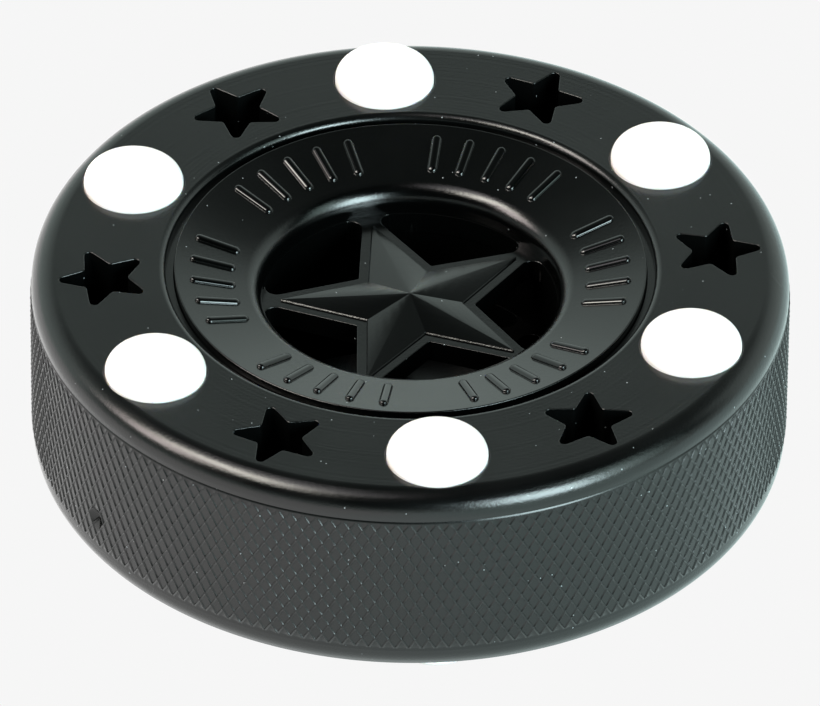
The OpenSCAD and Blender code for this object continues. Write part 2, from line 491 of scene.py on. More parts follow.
def body_inner_section():
    """From the lower face, in over the groove, the hub seat and the flange, to the upper face."""
    seat = HUB_R + SEAT_CLEAR
    bore = TUBE_R + SEAT_CLEAR
    floor_z = HALF_H - SLOT_DEPTH
    lip = SLOT_R + SLOT_ROUND
    return (arc((lip, -HALF_H + SLOT_ROUND), SLOT_ROUND, 270, 180)
            + path((SLOT_R, -HALF_H + SLOT_ROUND), (SLOT_R, -floor_z), (seat, -floor_z), (seat, -FLANGE_HALF),
                   (bore, -FLANGE_HALF), (bore, FLANGE_HALF), (seat, FLANGE_HALF), (seat, floor_z),
                   (SLOT_R, floor_z), (SLOT_R, HALF_H - SLOT_ROUND))
            + arc((lip, HALF_H - SLOT_ROUND), SLOT_ROUND, 180, 90))


def body_outer_section():
    """From the upper face over the shoulder, in behind the grip band and out to the lower face."""
    shoulder = (RIM_R - RIM_ROUND, HALF_H - RIM_ROUND)
    return (arc(shoulder, RIM_ROUND, 90 - SHOULDER_START, 0, steps=SHOULDER_STEPS)
            + path((RIM_R, HALF_H - RIM_ROUND), (RIM_R, BAND_HALF), (BAND_ROOT_R, BAND_HALF),
                   (BAND_ROOT_R, -BAND_HALF), (RIM_R, -BAND_HALF), (RIM_R, -HALF_H + RIM_ROUND))
            + arc((shoulder[0], -shoulder[1]), RIM_ROUND, 0, SHOULDER_START - 90, steps=SHOULDER_STEPS))


def glide_bore(sheet, angle):
    """A bore with a head seat in each face. Returns its loops in the lower and the upper face."""
    seat = HEAD_R + SEAT_CLEAR
    lip = seat + SEAT_ROUND
    floor_z = HALF_H - SEAT_DEPTH
    wall_z = HALF_H - SEAT_ROUND
    axis = placed(axis_line(GLIDE_STEPS), GLIDE_RING_R, angle)
    walls = path((seat, -wall_z), (seat, -floor_z), (BORE_R, -floor_z), (BORE_R, floor_z), (seat, floor_z),
                 (seat, wall_z))
    low_wall, high_wall = sheet.sweep(axis, walls)
    low_edge = arc((lip, -wall_z), SEAT_ROUND, 270, 180, steps=SMALL_ROUND_STEPS)
    low = sheet.sweep(axis, low_edge, ground=lower_face, last=low_wall)[0]
    high_edge = arc((lip, wall_z), SEAT_ROUND, 180, 90, steps=SMALL_ROUND_STEPS)
    high = sheet.sweep(axis, high_edge, ground=upper_face, first=high_wall)[1]
    return low, high


def through_hole_section(edge, low, high):
    """A straight wall with rounded edges, for an outline that is offset outward only at the edges."""
    return (arc((edge, low + edge), edge, 270, 180, steps=6)
            + line((0, low + edge), (0, high - edge))
            + arc((edge, high - edge), edge, 180, 90, steps=6))


def body_shell(material):
    """The body without its grip band: faces, shoulders, bores, vents, groove and flange."""
    sheet = Sheet()
    axis = axis_line(RING_STEPS)
    low_in, high_in = sheet.sweep(axis, body_inner_section())
    high_out, low_out = sheet.sweep(axis, body_outer_section())
    lower, upper = [low_out, low_in], [high_out, high_in]
    vent = star(VENT_POINTS, VENT_POINT_R, VENT_VALLEY_R, VENT_TIP_ROUND, VENT_VALLEY_ROUND)
    for k in range(GLIDES):
        angle = TAU * k / GLIDES
        low, high = glide_bore(sheet, angle)
        lower.append(low)
        upper.append(high)
        outline = placed(vent, VENT_RING_R, angle + math.pi / GLIDES)
        low, high = sheet.sweep(outline, through_hole_section(VENT_EDGE, -HALF_H, HALF_H))
        lower.append(low)
        upper.append(high)
    shoulder_starts = np.sin(np.radians([0, SHOULDER_START / 3, 2 * SHOULDER_START / 3]))
    guides = np.concatenate([circle(RIM_R - RIM_ROUND * (1 - s), RING_STEPS)[0] for s in shoulder_starts])
    sheet.fill(upper, ground=upper_face, guides=guides, base=HALF_H)
    sheet.fill(lower, ground=lower_face, guides=guides, base=-HALF_H, side=-1)
    return sheet.build("body_shell", [material])


# ======== Knurled grip band ========

def knurl_lines():
    """Where mesh lines cross one cell of the knurl, as shares of the cell, and the ridge's height there."""
    crest = CREST_SHARE * RIDGE_SHARE
    shares = [0, crest, RIDGE_SHARE, 1 - RIDGE_SHARE, 1 - crest]
    heights = [1, 1 - CREST_FALL, 0, 0, 1 - CREST_FALL]
    return np.array(shares), np.array(heights)


def knurl_grid():
    """Points and triangles of two families of crossing ridges, cut on the diagonal where ridges cross."""
    shares, heights = knurl_lines()
    per_cell = len(shares)
    around = KNURL_CELLS * per_cell
    reach = int(math.ceil(2 * (BAND_HALF + SPARE_H) / KNURL_CELL_H)) * per_cell
    q_index = np.arange(around)[:, None]
    p_index = q_index + np.arange(-reach, reach + 1)[None, :]
    q_line = q_index // per_cell + shares[q_index % per_cell]
    p_line = p_index // per_cell + shares[p_index % per_cell]
    angle = (p_line + q_line) / 2 * TAU / KNURL_CELLS
    height = (p_line - q_line) / 2 * KNURL_CELL_H
    one_way = heights[q_index % per_cell] + 0 * p_line
    other_way = heights[p_index % per_cell]
    ridge = np.maximum(one_way, other_way) + CROSSING_PEAK * one_way * other_way
    depth = 1 + CROSSING_PEAK - ridge
    rng = np.random.default_rng(WEAR_SEED)
    waves = [np.sin(turn * angle + climb * height) for turn, climb in WEAR_WAVES]
    wear = WEAR * np.abs(waves[0] * waves[1])
    rough = WEAR * rng.random(depth.shape)
    radius = CREST_R - RIDGE_H * depth - wear - rough - gate_dent(angle, height, rough / WEAR)
    points = np.stack([radius * np.cos(angle), radius * np.sin(angle), height], -1).reshape(-1, 3)
    columns = 2 * reach + 1
    b, j = np.meshgrid(np.arange(around), np.arange(1, columns - 1), indexing="ij")
    after = (b + 1) % around
    quads = np.stack([b * columns + j, b * columns + j + 1, after * columns + j, after * columns + j - 1], -1)
    quads = quads.reshape(-1, 4)
    flat_depth = depth.reshape(-1)[quads]
    turned = (np.abs(flat_depth[:, 1] - flat_depth[:, 3]) > np.abs(flat_depth[:, 0] - flat_depth[:, 2]))
    one = np.concatenate([quads[~turned][:, [0, 1, 2]], quads[~turned][:, [0, 2, 3]]])
    two = np.concatenate([quads[turned][:, [0, 1, 3]], quads[turned][:, [1, 2, 3]]])
    return points, np.concatenate([one, two])


def gate_dent(angle, height, rough):
    """Depth of the rough round dent that the mould's gate left on the band."""
    across = CREST_R * np.angle(np.exp(1j * (angle - GATE_ANGLE)))
    away = np.hypot(across, height + GATE_BELOW_MID) / GATE_R
    share = np.sqrt(np.clip(1 - away ** 2, 0, 1))
    return GATE_DEPTH * share * (1 - GATE_ROUGH + GATE_ROUGH * rough)


def cut_band(bm, height):
    """Trims the band at a height, keeping the middle, and returns the cut's points by angle."""
    side = 1 if height > 0 else -1
    parts = bm.verts[:] + bm.edges[:] + bm.faces[:]
    made = bmesh.ops.bisect_plane(bm, geom=parts, dist=1e-5, plane_co=(0, 0, height), plane_no=(0, 0, side),
                                  clear_outer=True)
    rim = [v for v in made["geom_cut"] if isinstance(v, bmesh.types.BMVert)]
    return sorted(rim, key=lambda v: math.atan2(v.co.y, v.co.x))


def add_ring(bm, rim, radius, height):
    """Joins a ring of points to a new round ring at the same angles."""
    ring = []
    for v in rim:
        angle = math.atan2(v.co.y, v.co.x)
        ring.append(bm.verts.new((radius * math.cos(angle), radius * math.sin(angle), height)))
    for i in range(len(rim)):
        j = (i + 1) % len(rim)
        bm.faces.new((rim[i], rim[j], ring[j], ring[i]))
    return ring


def grip_band(material):
    """The knurled band with a plain border at each end, a fine groove above it, and a hidden inner wall."""
    points, triangles = knurl_grid()
    mesh = bpy.data.meshes.new("body_grip_band")
    mesh.from_pydata(points.tolist(), [], triangles.tolist())
    bm = bmesh.new()
    bm.from_mesh(mesh)
    bmesh.ops.delete(bm, geom=[v for v in bm.verts if not v.link_faces], context="VERTS")
    inner = {}
    for side in (1, -1):
        ring = cut_band(bm, side * (BAND_HALF - BORDER_H))
        notch_r = RIM_R - (NOTCH_DEPTH if side > 0 else 0)
        border = ((FLAT_R, 0.7 * BORDER_H), (FLAT_R, NOTCH_W), (notch_r, NOTCH_W / 3), (RIM_R, 0))
        for radius, from_edge in border:
            ring = add_ring(bm, ring, radius, side * (BAND_HALF - from_edge))
        inner[side] = add_ring(bm, ring, BAND_ROOT_R, side * BAND_HALF)
    bmesh.ops.bridge_loops(bm, edges=ring_edges(inner[1]) + ring_edges(inner[-1]))
    bmesh.ops.recalc_face_normals(bm, faces=bm.faces[:])
    for v in bm.verts:
        v.co = (v.co + Vector((0, 0, MID_Z))) * MM
    bm.to_mesh(mesh)
    bm.free()
    mesh.materials.append(material)
    mesh.polygons.foreach_set("use_smooth", [True] * len(mesh.polygons))
    mesh.set_sharp_from_angle(angle=SHARP_ANGLE)
    obj = bpy.data.objects.new("body_grip_band", mesh)
    bpy.context.scene.collection.objects.link(obj)
    weighted = obj.modifiers.new("pad_normals", "WEIGHTED_NORMAL")
    weighted.keep_sharp = True
    return obj


def ring_edges(ring):
    """The edges between neighbours on a ring."""
    edges = []
    for i, v in enumerate(ring):
        after = ring[(i + 1) % len(ring)]
        edges += [e for e in v.link_edges if e.other_vert(v) is after]
    return edges


# ======== Hub ========

def hub_outer_section(edge_centre):
    """From the sloping ring over its outer edge, down the wall, in under the shoulder, down the tube."""
    shoulder = FLANGE_HALF + SHOULDER_CLEAR
    return (arc(edge_centre, HUB_EDGE, 90 + math.degrees(HUB_SLOPE), 0, steps=8)
            + path((HUB_R, edge_centre[1]), (HUB_R, shoulder), (TUBE_R, shoulder), (TUBE_R, 0)))


def star_roof(sheet, rim, plan):
    """The ridged star inside its rim: a peak, ridges along the arms and valleys between them."""
    edge = star_edge_angle(ARMS, STAR_TIP_R, STAR_VALLEY_R)
    half = math.pi / ARMS
    reach = STAR_TIP_R * math.cos(edge) - STAR_BEVEL
    slope = (STAR_PEAK - STAR_STEP) / reach
    base_z = HALF_H - WEB_DEPTH

    def height_and_normal(spot):
        """The star's height and normal, from the distance along and across the nearest arm."""
        angle = np.arctan2(spot[:, 1], spot[:, 0])
        radius = np.hypot(spot[:, 0], spot[:, 1])
        arm = np.round(angle / (2 * half)) * 2 * half
        across = radius * np.sin(angle - arm)
        forward = radius * np.cos(angle - arm)
        spread = np.sqrt(across ** 2 + STAR_RIDGE_SOFT ** 2)
        reached = forward * math.cos(edge) + spread * math.sin(edge)
        z = base_z + STAR_STEP + slope * (reach - reached)
        by_forward = -slope * math.cos(edge)
        by_across = -slope * math.sin(edge) * across / spread
        dx = by_forward * np.cos(arm) - by_across * np.sin(arm)
        dy = by_forward * np.sin(arm) + by_across * np.cos(arm)
        normals = np.column_stack([-dx, -dy, np.ones(len(spot))])
        return z, normals / np.linalg.norm(normals, axis=1)[:, None]

    here = rim
    here_normals = height_and_normal(plan)[1]
    for share in STAR_RINGS:
        spot = plan * share
        z, normals = height_and_normal(spot)
        ring = sheet.loop(np.column_stack([spot, z]))
        sheet.strip(here, here_normals, ring, normals)
        here, here_normals = ring, normals
    sheet.fill([here])


def darken_shaded_wall(sheet):
    """Gives the opening's wall, from the web down, a rougher, darker and nearly shineless copy of the hub's
    plastic: painted shade for the shaded inside of the hub.
    """
    top = HALF_H - WEB_DEPTH + SAME_LEVEL
    for i, face in enumerate(sheet.faces):
        spots = sheet.points[face]
        radii = np.hypot(spots[:, 0], spots[:, 1])
        on_wall = radii.min() > COLLAR_R - WALL_REACH and radii.max() < OPENING_R + SAME_LEVEL
        if on_wall and spots[:, 2].max() < top:
            sheet.slots[i] = SHADED_WALL_SLOT


def add_web(sheet, wall_low, wall_high):
    """The flat web in the opening, its five openings and the ridged star on top."""
    top = HALF_H - WEB_DEPTH
    lower, upper = [wall_low], [wall_high]
    for k in range(ARMS):
        low, high = sheet.sweep(web_opening(k), through_hole_section(WEB_EDGE, top - WEB_T, top))
        lower.append(low)
        upper.append(high)
    outline = star(ARMS, STAR_TIP_R, STAR_VALLEY_R, STAR_TIP_ROUND, STAR_VALLEY_ROUND,
                   valley_steps=VALLEY_STEPS)
    step_top = top + STAR_STEP
    bend = (-STAR_BEVEL_BEND[0] * STAR_BEVEL, step_top - STAR_BEVEL_BEND[1] * STAR_BEVEL_H)
    step = path((0, top), (0, step_top - STAR_BEVEL_H), bend, (-STAR_BEVEL, step_top))
    foot, rim = sheet.sweep(outline, step)
    upper.append(foot)
    sheet.fill(lower, side=-1)
    sheet.fill(upper)
    star_roof(sheet, rim, sheet.points[rim][:, :2])


def rib_dome():
    """Half the crossways section of a rib: an ellipse from its foot to its top."""
    reach = (RIB_W - RIB_FLAT) / 2
    rise = RIB_H - RIB_FOOT
    stations = []
    for angle in np.radians(np.linspace(0, 90, ROUND_STEPS + 1)):
        c, s = math.cos(angle), math.sin(angle)
        stations.append((-reach * (1 - c), RIB_FOOT + rise * s, c / reach, s / rise))
    return stations


def add_ribs(sheet):
    """Raised ribs on the sloping ring, and the loops where they stand on it."""
    fillet = arc((RIB_FOOT, RIB_FOOT), RIB_FOOT, 270, 180, steps=SMALL_ROUND_STEPS, side=-1)
    section = fillet + rib_dome()
    feet = []
    for g in range(RIB_GROUPS):
        for k in range(RIBS_PER_GROUP):
            turn = TAU * (g + 0.5) / RIB_GROUPS + (k - (RIBS_PER_GROUP - 1) / 2) * RIB_PITCH
            outline = placed(pill(RIB_LEN, RIB_W), RIB_RING_R, turn)
            foot, top = sheet.sweep(outline, section, ground=hub_cone, slot=RIB_SLOT)
            sheet.fill([top], ground=hub_cone, slot=RIB_SLOT)
            feet.append(foot)
    return feet


def add_joint_face(sheet, outer, inner):
    """The hidden face where the hub halves meet, with its pegs and sockets."""
    loops = [outer, inner]
    for k in range(ARMS):
        turn = TAU * k / ARMS
        peg = placed(circle(PEG_R, PEG_STEPS), PEG_RING_R, turn + PEG_ANGLE)
        root, end = sheet.sweep(peg, line((0, 0), (0, -PEG_LEN)))
        sheet.fill([end], side=-1)
        socket = placed(circle(PEG_R + PEG_CLEAR, PEG_STEPS), PEG_RING_R, turn - PEG_ANGLE)
        mouth, bottom = sheet.sweep(socket, [(0, 0, -1, 0), (0, PEG_LEN + PEG_END_CLEAR, -1, 0)])
        sheet.fill([bottom], side=-1)
        loops += [root, mouth]
    sheet.fill(loops, side=-1)


def hub_sheet():
    """One hub half with its ring, ribs, opening, web, star and joint face."""
    sheet = Sheet()
    axis = axis_line(RING_STEPS)
    tilt = math.radians(90) + HUB_SLOPE
    edge_r = HUB_R - HUB_EDGE
    edge_z = hub_slope_z(edge_r + HUB_EDGE * math.cos(tilt)) - HUB_EDGE * math.sin(tilt)
    lip_r = OPENING_R + LIP_ROUND
    lip_z = hub_slope_z(lip_r + LIP_ROUND * math.cos(tilt)) - LIP_ROUND * math.sin(tilt)
    top = HALF_H - WEB_DEPTH

    ring_out, tube_out = sheet.sweep(axis, hub_outer_section((edge_r, edge_z)))
    tube_in, wall_low = sheet.sweep(axis, line((OPENING_R, 0), (OPENING_R, top - WEB_T)))
    wall_high, ring_in = sheet.sweep(axis, line((OPENING_R, top), (OPENING_R, lip_z))
                                     + arc((lip_r, lip_z), LIP_ROUND, 180, math.degrees(tilt), steps=14))
    add_web(sheet, wall_low, wall_high)
    darken_shaded_wall(sheet)
    add_joint_face(sheet, tube_out, tube_in)
    feet = add_ribs(sheet)
    guides = np.concatenate([circle(r, RING_STEPS)[0] for r in HUB_GUIDE_RADII])
    sheet.fill([ring_out, ring_in, *feet], ground=hub_cone, guides=guides)
    return sheet


# ======== Glides ========

def head_section(seat_z):
    """A low dome with a rounded edge, from the seat to the crown."""
    land_r = HEAD_R - HEAD_ROUND
    bend = math.degrees(math.atan(2 * CROWN_H / land_r))
    shoulder = (land_r, GLIDE_TOP - CROWN_H - HEAD_ROUND)
    stations = [(HEAD_R, seat_z, 1, 0)] + arc(shoulder, HEAD_ROUND, 0, 90 - bend, steps=12)
    crown_r = land_r + HEAD_ROUND * math.sin(math.radians(bend))
    crown_base = shoulder[1] + HEAD_ROUND * math.cos(math.radians(bend))
    rise = GLIDE_TOP - crown_base
    for share in CROWN_RINGS:
        tilt = math.atan(2 * rise * share / crown_r)
        stations.append((crown_r * share, GLIDE_TOP - rise * share ** 2, math.sin(tilt), math.cos(tilt)))
    return stations


def shank_section(end_z):
    """From the shank's flat end up its wall, out under the head and over it."""
    seat_z = HALF_H - SEAT_DEPTH
    return ([(SHANK_R, end_z, 0, -1), (SHANK_R, end_z, 1, 0), (SHANK_R, seat_z, 1, 0),
             (SHANK_R, seat_z, 0, -1), (HEAD_R, seat_z, 0, -1)] + head_section(seat_z))


def sleeve_section():
    """Upper glide: from the socket's blind end down inside, round the sleeve's end and up to the head."""
    return ([(POLE_R, SOCKET_END, 0, -1), (SOCKET_R, SOCKET_END, 0, -1), (SOCKET_R, SOCKET_END, -1, 0),
             (SOCKET_R, SLEEVE_END, -1, 0), (SOCKET_R, SLEEVE_END, 0, -1)] + shank_section(SLEEVE_END))


def pin_section():
    """Lower glide, drawn head up: from the pin's tip down its shank to the head."""
    tip_r = PIN_R - PIN_CHAMFER
    chamfer_z = PIN_TIP + PIN_CHAMFER
    return ([(POLE_R, PIN_TIP, 0, -1), (tip_r, PIN_TIP, 0, -1), (tip_r, PIN_TIP, 0.7, -0.7),
             (PIN_R, chamfer_z, 0.7, -0.7), (PIN_R, chamfer_z, 1, 0), (PIN_R, PIN_ROOT, 1, 0),
             (PIN_R, PIN_ROOT, 0, -1)] + shank_section(PIN_ROOT))


def glide(k, below, material):
    """Glide number k. A lower one is drawn head up and turned over."""
    sheet = Sheet()
    turn = TAU * (k - 1) / GLIDES * (-1 if below else 1)
    middle = placed(axis_line(GLIDE_STEPS), GLIDE_RING_R, turn)
    root, crown = sheet.sweep(middle, pin_section() if below else sleeve_section())
    sheet.fill([root], side=-1)
    sheet.fill([crown])
    side = "bottom" if below else "top"
    if below:
        sheet = sheet.turned_over()
    return sheet.build(f"glide_{side}_{k}_visual", [material])


# ======== Materials ========

# ---- Two directions of fine lines on each plastic: turn in degrees, lines per metre, bare level ----
SCRATCHES = ((24.0, 2400.0, 0.72), (117.0, 2000.0, 0.74))
SCUFFS = ((61.0, 2600.0, 0.56), (149.0, 2200.0, 0.58))
SCRATCH_STRETCH = 0.02
SCRATCH_WIDTH = 0.012
PATCH_SCALE = 90.0
PATCH_EDGE = 0.04

# ---- Black plastic: noise scales in cells per metre ----
BODY_BLACK = (0.0010, 0.0012, 0.0012, 1.0)
BAND_BLACK = (0.0012, 0.0014, 0.0014, 1.0)
HUB_BLACK = (0.0006, 0.0007, 0.0007, 1.0)
# A darker copy of the hub's black: painted shade on the opening's wall inside the hub.
SHADED_WALL_BLACK = (0.0003, 0.0004, 0.0004, 1.0)
RIB_BLACK = (0.0004, 0.0005, 0.0005, 1.0)
CLOUD_SCALE = 140.0
FINE_SCALE = 7000.0
COARSE_SCALE = 3400.0
RING_SCALE = 2600.0
RING_DEPTH = 0.35
FINE_PART = 0.6
COARSE_PART = 0.4
CLOUD_SPAN = (0.35, 0.7)
CLOUD_PALER = 1.35
CLOUD_SHINE = 0.16
MARK_COLOUR = (0.02, 0.021, 0.021, 1.0)
MARK_STRENGTH = 0.25
MARK_SHINE = 0.12
MARK_DEPTH = 0.5
DUST_SCALE = 900.0
DUST_SHARE = 0.3
DUST_SIZE = 0.05
DUST_COLOUR = (0.22, 0.24, 0.25, 1.0)
EDGE_FACING = (0.93, 0.985)  # how steeply the normals on rounded edges point up or down
EDGE_SHINE = 0.5

# ---- White nylon ----
NYLON_CLOUD_SCALE = 260.0
NYLON_FINE_SCALE = 3500.0
NYLON_CLOUD_SPAN = (0.3, 0.75)
NYLON_ROUGHNESS = 0.3
NYLON_SHINE = 0.15
NYLON_LIGHT = (0.97, 0.91, 0.90, 1.0)
NYLON_CLOUDY = (0.93, 0.87, 0.85, 1.0)
SCUFF_COLOUR = (0.55, 0.53, 0.5, 1.0)
SCUFF_STRENGTH = 0.3
SCUFF_DEPTH = 0.6
NYLON_GRAIN = 0.004
NYLON_DEPTH = 0.8


class Graph:
    """Short way to write a node tree: values are set, sockets become links."""

    def __init__(self, tree):
        self.tree = tree
        tree.nodes.clear()

    def add(self, kind, inputs=None, out=0, **settings):
        """Adds a shader node and returns one of its outputs."""
        node = self.tree.nodes.new("ShaderNode" + kind)
        for name, value in settings.items():
            setattr(node, name, value)
        for name, value in (inputs or {}).items():
            if isinstance(value, bpy.types.NodeSocket):
                self.tree.links.new(value, node.inputs[name])
            else:
                node.inputs[name].default_value = value
        return node.outputs[out] if node.outputs else node

    def math(self, operation, a, b=0.0, clamp=False):
        """A sum, product or other operation on one or two values."""
        return self.add("Math", {0: a, 1: b}, operation=operation, use_clamp=clamp)

    def ramp(self, value, low, high, start=0.0, end=1.0):
        """Smooth step from start to end as value goes from low to high."""
        ends = {"Value": value, "From Min": low, "From Max": high, "To Min": start, "To Max": end}
        return self.add("MapRange", ends, interpolation_type="SMOOTHSTEP")

    def mix(self, factor, a, b):
        """A blend of two colours."""
        return self.add("Mix", {0: factor, 6: a, 7: b}, out=2, data_type="RGBA")

    def noise(self, vector, scale, detail=2.0, roughness=0.5):
        """Soft noise in space, with the scale in cells per metre."""
        inputs = {"Vector": vector, "Scale": scale, "Detail": detail, "Roughness": roughness}
        return self.add("TexNoise", inputs)

    def split(self, vector):
        """The three parts of a vector."""
        node = self.tree.nodes.new("ShaderNodeSeparateXYZ")
        self.tree.links.new(vector, node.inputs[0])
        return list(node.outputs)

    def distance(self, x, y):
        """How far the point x, y is from the axis."""
        return self.math("SQRT", self.math("ADD", self.math("MULTIPLY", x, x), self.math("MULTIPLY", y, y)))


def new_material(name):
    """A fresh material and the graph of its nodes."""
    material = bpy.data.materials.new(name)
    material.use_nodes = True
    return material, Graph(material.node_tree)


def scratches(g, coords, turn_deg, scale, bare):
    """Sparse fine lines that run one way: a stretched noise kept near its middle level, in a few patches.
    Bare is the level of the patches' noise below which there are no lines."""
    along = scale * SCRATCH_STRETCH
    turned = g.add("Mapping", {"Vector": coords, "Rotation": (0.0, 0.0, math.radians(turn_deg)),
                               "Scale": (scale, along, along)})
    lines = g.noise(turned, 1.0, detail=0.0)
    patch = g.noise(coords, PATCH_SCALE + turn_deg, detail=1.0)
    thin = g.ramp(g.math("ABSOLUTE", g.math("SUBTRACT", lines, 0.5)), 0.0, SCRATCH_WIDTH, 1.0, 0.0)
    return g.math("MULTIPLY", thin, g.ramp(patch, bare, bare + PATCH_EDGE))


def specks(g, coords, scale, share, size):
    """Tiny dust specks in a share of the cells of a cell pattern."""
    cells = g.tree.nodes.new("ShaderNodeTexVoronoi")
    g.tree.links.new(coords, cells.inputs["Vector"])
    cells.inputs["Scale"].default_value = scale
    chosen = g.add("SeparateColor", {0: cells.outputs["Color"]})
    near = g.ramp(cells.outputs["Distance"], size, size * 1.6, 1.0, 0.0)
    return g.math("MULTIPLY", near, g.math("LESS_THAN", chosen, share))


def black_plastic(name, colour, roughness, grain, dusty=1.0, ringed=False, gloss=0.5, edge_grain=0.0):
    """Satin moulded plastic: fine grain, coarser on rounded edges, handling marks, scratches and dust."""
    material, g = new_material(name)
    coords = g.add("TexCoord", out=3)
    cloud = g.noise(coords, CLOUD_SCALE, detail=4.0)
    fine = g.noise(coords, FINE_SCALE, detail=3.0, roughness=0.6)
    coarse = g.noise(coords, COARSE_SCALE, detail=1.0)
    one_way, other_way = [scratches(g, coords, *kind) for kind in SCRATCHES]
    marks = g.math("MAXIMUM", one_way, other_way)
    dust = specks(g, coords, DUST_SCALE, DUST_SHARE * dusty, DUST_SIZE)
    paler = tuple(c * CLOUD_PALER for c in colour[:3]) + (1.0,)
    tint = g.mix(g.ramp(cloud, *CLOUD_SPAN), colour, paler)
    tint = g.mix(g.math("MULTIPLY", marks, MARK_STRENGTH), tint, MARK_COLOUR)
    tint = g.mix(dust, tint, DUST_COLOUR)
    shine = g.math("ADD", roughness, g.math("MULTIPLY", g.math("SUBTRACT", cloud, 0.5), CLOUD_SHINE))
    shine = g.math("ADD", shine, g.math("MULTIPLY", marks, MARK_SHINE), clamp=True)
    height = g.math("ADD", g.math("MULTIPLY", fine, FINE_PART), g.math("MULTIPLY", coarse, COARSE_PART))
    if ringed:
        x, y = g.split(coords)[:2]
        across = g.math("MULTIPLY", g.distance(x, y), RING_SCALE)
        rings = g.add("TexNoise", {"W": across, "Scale": 1.0, "Detail": 1.0}, noise_dimensions="1D")
        height = g.math("ADD", height, g.math("MULTIPLY", rings, RING_DEPTH))
    height = g.math("SUBTRACT", height, g.math("MULTIPLY", marks, MARK_DEPTH))
    facing_up = g.split(g.add("NewGeometry", out=1))[2]
    on_edge = g.ramp(g.math("ABSOLUTE", facing_up), *EDGE_FACING, 1.0, 0.0)
    relief = g.math("ADD", grain * MM, g.math("MULTIPLY", on_edge, edge_grain * MM))
    shine = g.math("ADD", shine, g.math("MULTIPLY", on_edge, edge_grain * EDGE_SHINE))
    bump = g.add("Bump", {"Height": height, "Distance": relief, "Strength": 1.0})
    surface = g.add("BsdfPrincipled", {"Base Color": tint, "Roughness": shine, "Normal": bump, "IOR": 1.5,
                                       "Specular IOR Level": gloss})
    g.add("OutputMaterial", {"Surface": surface})
    return material


def white_nylon():
    """Smooth white nylon with a little depth, faint clouding and small scuffs."""
    material, g = new_material("glide_nylon_look")
    coords = g.add("TexCoord", out=3)
    cloud = g.noise(coords, NYLON_CLOUD_SCALE, detail=3.0)
    fine = g.noise(coords, NYLON_FINE_SCALE, detail=2.0)
    one_way, other_way = [scratches(g, coords, *kind) for kind in SCUFFS]
    scuffs = g.math("MAXIMUM", one_way, other_way)
    tint = g.mix(g.ramp(cloud, *NYLON_CLOUD_SPAN), NYLON_LIGHT, NYLON_CLOUDY)
    tint = g.mix(g.math("MULTIPLY", scuffs, SCUFF_STRENGTH), tint, SCUFF_COLOUR)
    shine = g.math("ADD", NYLON_ROUGHNESS, g.math("MULTIPLY", cloud, NYLON_SHINE))
    height = g.math("SUBTRACT", fine, g.math("MULTIPLY", scuffs, SCUFF_DEPTH))
    bump = g.add("Bump", {"Height": height, "Distance": NYLON_GRAIN * MM, "Strength": 1.0})
    surface = g.add("BsdfPrincipled", {"Base Color": tint, "Roughness": shine, "Normal": bump, "IOR": 1.53,
                                       "Subsurface Weight": 0.25, "Subsurface Radius": (1.0, 0.8, 0.5),
                                       "Subsurface Scale": NYLON_DEPTH * MM})
    g.add("OutputMaterial", {"Surface": surface})
    return material


# ======== Floor, light and camera ========

VIEW_AZIMUTH = math.radians(-35.28)
VIEW_ELEVATION = math.radians(37.71)
VIEW_ROLL = math.radians(0.58)
VIEW_DISTANCE = 1409.6
VIEW_LENS = 618.6
AIM_DROP = 8.94
AIM_SIDE = 0.05

# ---- Floor ----
FLOOR_SEEN = 0.922
FLOOR_FELT = 1.5
FLOOR_LEFT = (1.0, 1.0, 0.99, 1.0)
FLOOR_RIGHT = (0.78, 1.0, 0.98, 1.0)
SEEN_FROM = 33.0
SEEN_FULL = 34.4
FELT_FROM = 34.0
PAPER_SCALE = 40.0
PAPER_STRENGTH = 0.05
PAPER_COLOUR = (0.5, 0.5, 0.5, 1.0)

# ---- Softboxes: centre and half width in azimuth, elevation from and to (degrees), power, colour ----
SOFTBOXES = [
    (-70, 25, 47.5, 62.5, 18.0, (1.0, 0.97, 0.87)),
    (-72, 52, 61, 80, 2.0, (1.0, 0.96, 0.98)),
    (-83, 13, 25, 47, 11.0, (1.0, 0.90, 0.86)),
    (38, 13, 7, 33, 23.0, (0.76, 0.97, 1.0)),
    (63, 13, 10, 46, 2.4, (0.74, 1.0, 0.95)),
]

# ---- Cove: bright low down, dim higher up, fading to the ceiling; only its horizon goes all round ----
BEHIND = (92, 108)
COVE_LOW = 0.68
COVE_LOW_END = (32, 42)
COVE_HIGH = 0.26
COVE_HIGH_END = (30, 66)
CEILING = 0.07
HORIZON = 0.55
HORIZON_END = (12, 16)
COVE_COLOUR = (0.85, 1.0, 0.95)
DAWN = 0.2
DAWN_END = (16, 24)
BOX_SIDE_BLUR = 4
BOX_EDGE_BLUR = 3


